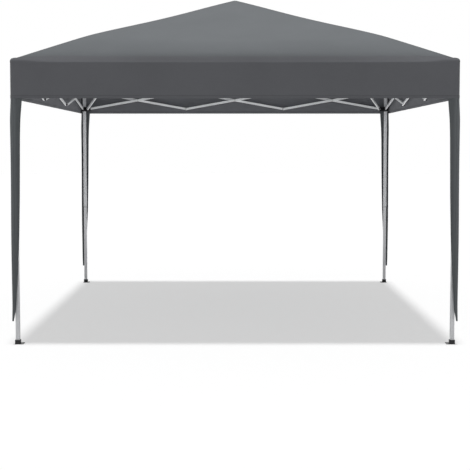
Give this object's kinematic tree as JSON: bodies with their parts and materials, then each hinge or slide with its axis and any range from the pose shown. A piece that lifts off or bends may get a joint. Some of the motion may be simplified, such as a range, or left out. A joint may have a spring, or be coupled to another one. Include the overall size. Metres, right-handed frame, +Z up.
{
  "type": "folding canopy tent",
  "caption": "Free-standing folding canopy tent: a square roof with a valance on scissor trusses, sliders, roof rods and telescoping legs.",
  "frame": {"origin": "on the ground at the centre between the four feet", "axes": "+Z up, front side towards -Y, +X to the right seen from the front"},
  "size_m": [3, 3, 2.525],
  "materials": {
    "leg_steel": "satin silver-grey powder coat",
    "bar_steel": "light grey powder coat",
    "fitting_plastic": "moulded, slightly rough",
    "button_metal": "plated, smooth",
    "canopy_fabric": "coated polyester weave, sewn hems"
  },
  "bodies": {
    "front_left_leg_post": {"front_left_leg_post": "leg_steel"},
    "front_left_inner_leg": {"front_left_inner_leg": "leg_steel"},
    "front_left_height_button": {"front_left_height_button": "button_metal"},
    "front_left_slider": {"front_left_slider": "fitting_plastic"},
    "front_left_slider_button": {"front_left_slider_button": "fitting_plastic"},
    "front_right_leg_post": {"front_right_leg_post": "leg_steel"},
    "front_right_inner_leg": {"front_right_inner_leg": "leg_steel"},
    "front_right_height_button": {"front_right_height_button": "button_metal"},
    "front_right_slider": {"front_right_slider": "fitting_plastic"},
    "front_right_slider_button": {"front_right_slider_button": "fitting_plastic"},
    "back_right_leg_post": {"back_right_leg_post": "leg_steel"},
    "back_right_inner_leg": {"back_right_inner_leg": "leg_steel"},
    "back_right_height_button": {"back_right_height_button": "button_metal"},
    "back_right_slider": {"back_right_slider": "fitting_plastic"},
    "back_right_slider_button": {"back_right_slider_button": "fitting_plastic"},
    "back_left_leg_post": {"back_left_leg_post": "leg_steel"},
    "back_left_inner_leg": {"back_left_inner_leg": "leg_steel"},
    "back_left_height_button": {"back_left_height_button": "button_metal"},
    "back_left_slider": {"back_left_slider": "fitting_plastic"},
    "back_left_slider_button": {"back_left_slider_button": "fitting_plastic"},
    "front_truss_bar_1": {"front_truss_bar_1": "bar_steel"},
    "front_truss_bar_2": {"front_truss_bar_2": "bar_steel"},
    "front_truss_bar_3": {"front_truss_bar_3": "bar_steel"},
    "front_truss_bar_4": {"front_truss_bar_4": "bar_steel"},
    "front_truss_bar_5": {"front_truss_bar_5": "bar_steel"},
    "front_truss_bar_6": {"front_truss_bar_6": "bar_steel"},
    "right_truss_bar_1": {"right_truss_bar_1": "bar_steel"},
    "right_truss_bar_2": {"right_truss_bar_2": "bar_steel"},
    "right_truss_bar_3": {"right_truss_bar_3": "bar_steel"},
    "right_truss_bar_4": {"right_truss_bar_4": "bar_steel"},
    "right_truss_bar_5": {"right_truss_bar_5": "bar_steel"},
    "right_truss_bar_6": {"right_truss_bar_6": "bar_steel"},
    "back_truss_bar_1": {"back_truss_bar_1": "bar_steel"},
    "back_truss_bar_2": {"back_truss_bar_2": "bar_steel"},
    "back_truss_bar_3": {"back_truss_bar_3": "bar_steel"},
    "back_truss_bar_4": {"back_truss_bar_4": "bar_steel"},
    "back_truss_bar_5": {"back_truss_bar_5": "bar_steel"},
    "back_truss_bar_6": {"back_truss_bar_6": "bar_steel"},
    "left_truss_bar_1": {"left_truss_bar_1": "bar_steel"},
    "left_truss_bar_2": {"left_truss_bar_2": "bar_steel"},
    "left_truss_bar_3": {"left_truss_bar_3": "bar_steel"},
    "left_truss_bar_4": {"left_truss_bar_4": "bar_steel"},
    "left_truss_bar_5": {"left_truss_bar_5": "bar_steel"},
    "left_truss_bar_6": {"left_truss_bar_6": "bar_steel"},
    "front_left_outer_roof_rod": {"front_left_outer_roof_rod": "bar_steel"},
    "front_left_inner_roof_rod": {"front_left_inner_roof_rod": "bar_steel"},
    "front_left_roof_strut": {"front_left_roof_strut": "bar_steel"},
    "front_right_outer_roof_rod": {"front_right_outer_roof_rod": "bar_steel"},
    "front_right_inner_roof_rod": {"front_right_inner_roof_rod": "bar_steel"},
    "front_right_roof_strut": {"front_right_roof_strut": "bar_steel"},
    "back_right_outer_roof_rod": {"back_right_outer_roof_rod": "bar_steel"},
    "back_right_inner_roof_rod": {"back_right_inner_roof_rod": "bar_steel"},
    "back_right_roof_strut": {"back_right_roof_strut": "bar_steel"},
    "back_left_outer_roof_rod": {"back_left_outer_roof_rod": "bar_steel"},
    "back_left_inner_roof_rod": {"back_left_inner_roof_rod": "bar_steel"},
    "back_left_roof_strut": {"back_left_roof_strut": "bar_steel"},
    "roof_hub": {"roof_hub": "fitting_plastic", "peak_cap": "fitting_plastic", "canopy": "canopy_fabric"}
  },
  "joints": [
    {"name": "frame_fold", "type": "hinge", "parent": "front_left_leg_post", "child": "front_truss_bar_1", "pos_m": [-1.422, -1.47, 1.87], "axis": [0, 1, 0], "range_deg": [0, 78.11], "deforming": ["canopy"]},
    {"name": "front_truss_bar_2_pivot", "type": "hinge", "parent": "front_truss_bar_1", "child": "front_truss_bar_2", "pos_m": [-0.948, -1.47, 1.785], "axis": [0, 1, 0], "range_deg": [-156.27, 0]},
    {"name": "front_truss_bar_3_pivot", "type": "hinge", "parent": "front_truss_bar_2", "child": "front_truss_bar_3", "pos_m": [-0.474, -1.47, 1.87], "axis": [0, 1, 0], "range_deg": [0, 156.27]},
    {"name": "front_truss_bar_4_pivot", "type": "hinge", "parent": "front_truss_bar_3", "child": "front_truss_bar_4", "pos_m": [0, -1.47, 1.785], "axis": [0, 1, 0], "range_deg": [-156.27, 0]},
    {"name": "front_truss_bar_5_pivot", "type": "hinge", "parent": "front_truss_bar_4", "child": "front_truss_bar_5", "pos_m": [0.474, -1.47, 1.87], "axis": [0, 1, 0], "range_deg": [0, 156.27]},
    {"name": "front_truss_bar_6_pivot", "type": "hinge", "parent": "front_truss_bar_5", "child": "front_truss_bar_6", "pos_m": [0.948, -1.47, 1.785], "axis": [0, 1, 0], "range_deg": [-156.27, 0]},
    {"name": "front_right_leg_post_pivot", "type": "hinge", "parent": "front_truss_bar_6", "child": "front_right_leg_post", "pos_m": [1.422, -1.47, 1.87], "axis": [0, 1, 0], "range_deg": [0, 78.16]},
    {"name": "right_truss_bar_1_pivot", "type": "hinge", "parent": "front_right_leg_post", "child": "right_truss_bar_1", "pos_m": [1.47, -1.422, 1.87], "axis": [-1, 0, 0], "range_deg": [0, 78.16]},
    {"name": "right_truss_bar_2_pivot", "type": "hinge", "parent": "right_truss_bar_1", "child": "right_truss_bar_2", "pos_m": [1.47, -0.948, 1.785], "axis": [-1, 0, 0], "range_deg": [-156.27, 0]},
    {"name": "right_truss_bar_3_pivot", "type": "hinge", "parent": "right_truss_bar_2", "child": "right_truss_bar_3", "pos_m": [1.47, -0.474, 1.87], "axis": [-1, 0, 0], "range_deg": [0, 156.27]},
    {"name": "right_truss_bar_4_pivot", "type": "hinge", "parent": "right_truss_bar_3", "child": "right_truss_bar_4", "pos_m": [1.47, 0, 1.785], "axis": [-1, 0, 0], "range_deg": [-156.27, 0]},
    {"name": "right_truss_bar_5_pivot", "type": "hinge", "parent": "right_truss_bar_4", "child": "right_truss_bar_5", "pos_m": [1.47, 0.474, 1.87], "axis": [-1, 0, 0], "range_deg": [0, 156.27]},
    {"name": "right_truss_bar_6_pivot", "type": "hinge", "parent": "right_truss_bar_5", "child": "right_truss_bar_6", "pos_m": [1.47, 0.948, 1.785], "axis": [-1, 0, 0], "range_deg": [-156.27, 0]},
    {"name": "back_right_leg_post_pivot", "type": "hinge", "parent": "right_truss_bar_6", "child": "back_right_leg_post", "pos_m": [1.47, 1.422, 1.87], "axis": [-1, 0, 0], "range_deg": [0, 78.16]},
    {"name": "back_truss_bar_1_pivot", "type": "hinge", "parent": "back_right_leg_post", "child": "back_truss_bar_1", "pos_m": [1.422, 1.47, 1.87], "axis": [0, -1, 0], "range_deg": [0, 78.16]},
    {"name": "back_truss_bar_2_pivot", "type": "hinge", "parent": "back_truss_bar_1", "child": "back_truss_bar_2", "pos_m": [0.948, 1.47, 1.785], "axis": [0, -1, 0], "range_deg": [-156.27, 0]},
    {"name": "back_truss_bar_3_pivot", "type": "hinge", "parent": "back_truss_bar_2", "child": "back_truss_bar_3", "pos_m": [0.474, 1.47, 1.87], "axis": [0, -1, 0], "range_deg": [0, 156.27]},
    {"name": "back_truss_bar_4_pivot", "type": "hinge", "parent": "back_truss_bar_3", "child": "back_truss_bar_4", "pos_m": [0, 1.47, 1.785], "axis": [0, -1, 0], "range_deg": [-156.27, 0]},
    {"name": "back_truss_bar_5_pivot", "type": "hinge", "parent": "back_truss_bar_4", "child": "back_truss_bar_5", "pos_m": [-0.474, 1.47, 1.87], "axis": [0, -1, 0], "range_deg": [0, 156.27]},
    {"name": "back_truss_bar_6_pivot", "type": "hinge", "parent": "back_truss_bar_5", "child": "back_truss_bar_6", "pos_m": [-0.948, 1.47, 1.785], "axis": [0, -1, 0], "range_deg": [-156.27, 0]},
    {"name": "left_truss_bar_6_pivot", "type": "hinge", "parent": "front_left_leg_post", "child": "left_truss_bar_6", "pos_m": [-1.47, -1.422, 1.87], "axis": [1, 0, 0], "range_deg": [-78.16, 0]},
    {"name": "left_truss_bar_5_pivot", "type": "hinge", "parent": "left_truss_bar_6", "child": "left_truss_bar_5", "pos_m": [-1.47, -0.948, 1.785], "axis": [1, 0, 0], "range_deg": [0, 156.27]},
    {"name": "left_truss_bar_4_pivot", "type": "hinge", "parent": "left_truss_bar_5", "child": "left_truss_bar_4", "pos_m": [-1.47, -0.474, 1.87], "axis": [1, 0, 0], "range_deg": [-156.27, 0]},
    {"name": "left_truss_bar_3_pivot", "type": "hinge", "parent": "left_truss_bar_4", "child": "left_truss_bar_3", "pos_m": [-1.47, 0, 1.785], "axis": [1, 0, 0], "range_deg": [0, 156.27]},
    {"name": "left_truss_bar_2_pivot", "type": "hinge", "parent": "left_truss_bar_3", "child": "left_truss_bar_2", "pos_m": [-1.47, 0.474, 1.87], "axis": [1, 0, 0], "range_deg": [-156.27, 0]},
    {"name": "left_truss_bar_1_pivot", "type": "hinge", "parent": "left_truss_bar_2", "child": "left_truss_bar_1", "pos_m": [-1.47, 0.948, 1.785], "axis": [1, 0, 0], "range_deg": [0, 156.27]},
    {"name": "back_left_leg_post_pivot", "type": "hinge", "parent": "left_truss_bar_1", "child": "back_left_leg_post", "pos_m": [-1.47, 1.422, 1.87], "axis": [1, 0, 0], "range_deg": [-78.16, 0]},
    {"name": "front_left_slider_pivot", "type": "hinge", "parent": "front_truss_bar_2", "child": "front_left_slider", "pos_m": [-1.422, -1.47, 1.7], "axis": [0, 1, 0], "range_deg": [0, 78.16]},
    {"name": "front_right_slider_pivot", "type": "hinge", "parent": "front_truss_bar_5", "child": "front_right_slider", "pos_m": [1.422, -1.47, 1.7], "axis": [0, 1, 0], "range_deg": [-78.16, 0]},
    {"name": "back_right_slider_pivot", "type": "hinge", "parent": "right_truss_bar_5", "child": "back_right_slider", "pos_m": [1.47, 1.422, 1.7], "axis": [-1, 0, 0], "range_deg": [-78.16, 0]},
    {"name": "back_left_slider_pivot", "type": "hinge", "parent": "left_truss_bar_2", "child": "back_left_slider", "pos_m": [-1.47, 1.422, 1.7], "axis": [1, 0, 0], "range_deg": [0, 78.16]},
    {"name": "front_left_outer_roof_rod_pivot", "type": "hinge", "parent": "front_left_leg_post", "child": "front_left_outer_roof_rod", "pos_m": [-1.41386, -1.41386, 1.932], "axis": [-0.7071, 0.7071, 0], "range_deg": [0, 105.55]},
    {"name": "front_right_outer_roof_rod_pivot", "type": "hinge", "parent": "front_right_leg_post", "child": "front_right_outer_roof_rod", "pos_m": [1.41386, -1.41386, 1.932], "axis": [-0.7071, -0.7071, 0], "range_deg": [0, 105.55]},
    {"name": "back_right_outer_roof_rod_pivot", "type": "hinge", "parent": "back_right_leg_post", "child": "back_right_outer_roof_rod", "pos_m": [1.41386, 1.41386, 1.932], "axis": [0.7071, -0.7071, 0], "range_deg": [0, 105.55]},
    {"name": "back_left_outer_roof_rod_pivot", "type": "hinge", "parent": "back_left_leg_post", "child": "back_left_outer_roof_rod", "pos_m": [-1.41386, 1.41386, 1.932], "axis": [0.7071, 0.7071, 0], "range_deg": [0, 105.55]},
    {"name": "front_left_knee", "type": "hinge", "parent": "front_left_outer_roof_rod", "child": "front_left_inner_roof_rod", "pos_m": [-0.73994, -0.73994, 2.19627], "axis": [-0.7071, 0.7071, 0], "range_deg": [-180.05, 0]},
    {"name": "roof_hub_pivot", "type": "hinge", "parent": "front_left_inner_roof_rod", "child": "roof_hub", "pos_m": [-0.03535, -0.03535, 2.47256], "axis": [-0.7071, 0.7071, 0], "range_deg": [0, 74.55]},
    {"name": "front_right_inner_roof_rod_pivot", "type": "hinge", "parent": "roof_hub", "child": "front_right_inner_roof_rod", "pos_m": [0.03535, -0.03535, 2.47256], "axis": [-0.7071, -0.7071, 0], "range_deg": [-74.55, 0]},
    {"name": "back_right_inner_roof_rod_pivot", "type": "hinge", "parent": "roof_hub", "child": "back_right_inner_roof_rod", "pos_m": [0.03535, 0.03535, 2.47256], "axis": [0.7071, -0.7071, 0], "range_deg": [-74.55, 0]},
    {"name": "back_left_inner_roof_rod_pivot", "type": "hinge", "parent": "roof_hub", "child": "back_left_inner_roof_rod", "pos_m": [-0.03535, 0.03535, 2.47256], "axis": [0.7071, 0.7071, 0], "range_deg": [-74.55, 0]},
    {"name": "front_left_roof_strut_pivot", "type": "hinge", "parent": "front_left_outer_roof_rod", "child": "front_left_roof_strut", "pos_m": [-1.10154, -1.10154, 2.05447], "axis": [-0.7071, 0.7071, 0], "range_deg": [-156.8, 0]},
    {"name": "front_right_roof_strut_pivot", "type": "hinge", "parent": "front_right_outer_roof_rod", "child": "front_right_roof_strut", "pos_m": [1.10154, -1.10154, 2.05447], "axis": [-0.7071, -0.7071, 0], "range_deg": [-156.8, 0]},
    {"name": "back_right_roof_strut_pivot", "type": "hinge", "parent": "back_right_outer_roof_rod", "child": "back_right_roof_strut", "pos_m": [1.10154, 1.10154, 2.05447], "axis": [0.7071, -0.7071, 0], "range_deg": [-156.8, 0]},
    {"name": "back_left_roof_strut_pivot", "type": "hinge", "parent": "back_left_outer_roof_rod", "child": "back_left_roof_strut", "pos_m": [-1.10154, 1.10154, 2.05447], "axis": [0.7071, 0.7071, 0], "range_deg": [-156.8, 0]},
    {"name": "front_left_leg_slide", "type": "slide", "parent": "front_left_leg_post", "child": "front_left_inner_leg", "axis": [0, 0, 1], "range_m": [0, 0.7]},
    {"name": "front_right_leg_slide", "type": "slide", "parent": "front_right_leg_post", "child": "front_right_inner_leg", "axis": [0, 0, 1], "range_m": [0, 0.7]},
    {"name": "back_right_leg_slide", "type": "slide", "parent": "back_right_leg_post", "child": "back_right_inner_leg", "axis": [0, 0, 1], "range_m": [0, 0.7]},
    {"name": "back_left_leg_slide", "type": "slide", "parent": "back_left_leg_post", "child": "back_left_inner_leg", "axis": [0, 0, 1], "range_m": [0, 0.7]},
    {"name": "front_left_height_button_press", "type": "slide", "parent": "front_left_leg_post", "child": "front_left_height_button", "axis": [-1, 0, 0], "range_m": [0, 0.004], "stiffness_N_per_m": 600, "springref_m": -0.003},
    {"name": "front_right_height_button_press", "type": "slide", "parent": "front_right_leg_post", "child": "front_right_height_button", "axis": [1, 0, 0], "range_m": [0, 0.004], "stiffness_N_per_m": 600, "springref_m": -0.003},
    {"name": "back_right_height_button_press", "type": "slide", "parent": "back_right_leg_post", "child": "back_right_height_button", "axis": [1, 0, 0], "range_m": [0, 0.004], "stiffness_N_per_m": 600, "springref_m": -0.003},
    {"name": "back_left_height_button_press", "type": "slide", "parent": "back_left_leg_post", "child": "back_left_height_button", "axis": [-1, 0, 0], "range_m": [0, 0.004], "stiffness_N_per_m": 600, "springref_m": -0.003},
    {"name": "front_left_slider_button_press", "type": "slide", "parent": "front_left_slider", "child": "front_left_slider_button", "axis": [0, 1, 0], "range_m": [0, 0.0025], "stiffness_N_per_m": 600, "springref_m": -0.003},
    {"name": "front_right_slider_button_press", "type": "slide", "parent": "front_right_slider", "child": "front_right_slider_button", "axis": [-1, 0, 0], "range_m": [0, 0.0025], "stiffness_N_per_m": 600, "springref_m": -0.003},
    {"name": "back_right_slider_button_press", "type": "slide", "parent": "back_right_slider", "child": "back_right_slider_button", "axis": [0, -1, 0], "range_m": [0, 0.0025], "stiffness_N_per_m": 600, "springref_m": -0.003},
    {"name": "back_left_slider_button_press", "type": "slide", "parent": "back_left_slider", "child": "back_left_slider_button", "axis": [1, 0, 0], "range_m": [0, 0.0025], "stiffness_N_per_m": 600, "springref_m": -0.003}
  ],
  "couplings": [
    {"joint": "front_truss_bar_2_pivot", "follows": "frame_fold", "ratio": -2},
    {"joint": "front_truss_bar_3_pivot", "follows": "frame_fold", "ratio": 2},
    {"joint": "front_truss_bar_4_pivot", "follows": "frame_fold", "ratio": -2},
    {"joint": "front_truss_bar_5_pivot", "follows": "frame_fold", "ratio": 2},
    {"joint": "front_truss_bar_6_pivot", "follows": "frame_fold", "ratio": -2},
    {"joint": "front_right_leg_post_pivot", "follows": "frame_fold", "ratio": 1},
    {"joint": "right_truss_bar_1_pivot", "follows": "frame_fold", "ratio": 1},
    {"joint": "right_truss_bar_2_pivot", "follows": "frame_fold", "ratio": -2},
    {"joint": "right_truss_bar_3_pivot", "follows": "frame_fold", "ratio": 2},
    {"joint": "right_truss_bar_4_pivot", "follows": "frame_fold", "ratio": -2},
    {"joint": "right_truss_bar_5_pivot", "follows": "frame_fold", "ratio": 2},
    {"joint": "right_truss_bar_6_pivot", "follows": "frame_fold", "ratio": -2},
    {"joint": "back_right_leg_post_pivot", "follows": "frame_fold", "ratio": 1},
    {"joint": "back_truss_bar_1_pivot", "follows": "frame_fold", "ratio": 1},
    {"joint": "back_truss_bar_2_pivot", "follows": "frame_fold", "ratio": -2},
    {"joint": "back_truss_bar_3_pivot", "follows": "frame_fold", "ratio": 2},
    {"joint": "back_truss_bar_4_pivot", "follows": "frame_fold", "ratio": -2},
    {"joint": "back_truss_bar_5_pivot", "follows": "frame_fold", "ratio": 2},
    {"joint": "back_truss_bar_6_pivot", "follows": "frame_fold", "ratio": -2},
    {"joint": "left_truss_bar_6_pivot", "follows": "frame_fold", "ratio": -1},
    {"joint": "left_truss_bar_5_pivot", "follows": "frame_fold", "ratio": 2},
    {"joint": "left_truss_bar_4_pivot", "follows": "frame_fold", "ratio": -2},
    {"joint": "left_truss_bar_3_pivot", "follows": "frame_fold", "ratio": 2},
    {"joint": "left_truss_bar_2_pivot", "follows": "frame_fold", "ratio": -2},
    {"joint": "left_truss_bar_1_pivot", "follows": "frame_fold", "ratio": 2},
    {"joint": "back_left_leg_post_pivot", "follows": "frame_fold", "ratio": -1},
    {"joint": "front_left_slider_pivot", "follows": "frame_fold", "ratio": 1},
    {"joint": "front_right_slider_pivot", "follows": "frame_fold", "ratio": -1},
    {"joint": "back_right_slider_pivot", "follows": "frame_fold", "ratio": -1},
    {"joint": "back_left_slider_pivot", "follows": "frame_fold", "ratio": 1},
    {"joint": "front_left_outer_roof_rod_pivot", "follows": "frame_fold", "ratio": 1.3507},
    {"joint": "front_right_outer_roof_rod_pivot", "follows": "frame_fold", "ratio": 1.3507},
    {"joint": "back_right_outer_roof_rod_pivot", "follows": "frame_fold", "ratio": 1.3507},
    {"joint": "back_left_outer_roof_rod_pivot", "follows": "frame_fold", "ratio": 1.3507},
    {"joint": "front_left_knee", "follows": "frame_fold", "ratio": -2.3045},
    {"joint": "roof_hub_pivot", "follows": "frame_fold", "ratio": 0.95384},
    {"joint": "front_right_inner_roof_rod_pivot", "follows": "frame_fold", "ratio": -0.95384},
    {"joint": "back_right_inner_roof_rod_pivot", "follows": "frame_fold", "ratio": -0.95384},
    {"joint": "back_left_inner_roof_rod_pivot", "follows": "frame_fold", "ratio": -0.95384},
    {"joint": "front_left_roof_strut_pivot", "follows": "frame_fold", "ratio": -2.0068},
    {"joint": "front_right_roof_strut_pivot", "follows": "frame_fold", "ratio": -2.0068},
    {"joint": "back_right_roof_strut_pivot", "follows": "frame_fold", "ratio": -2.0068},
    {"joint": "back_left_roof_strut_pivot", "follows": "frame_fold", "ratio": -2.0068}
  ]
}
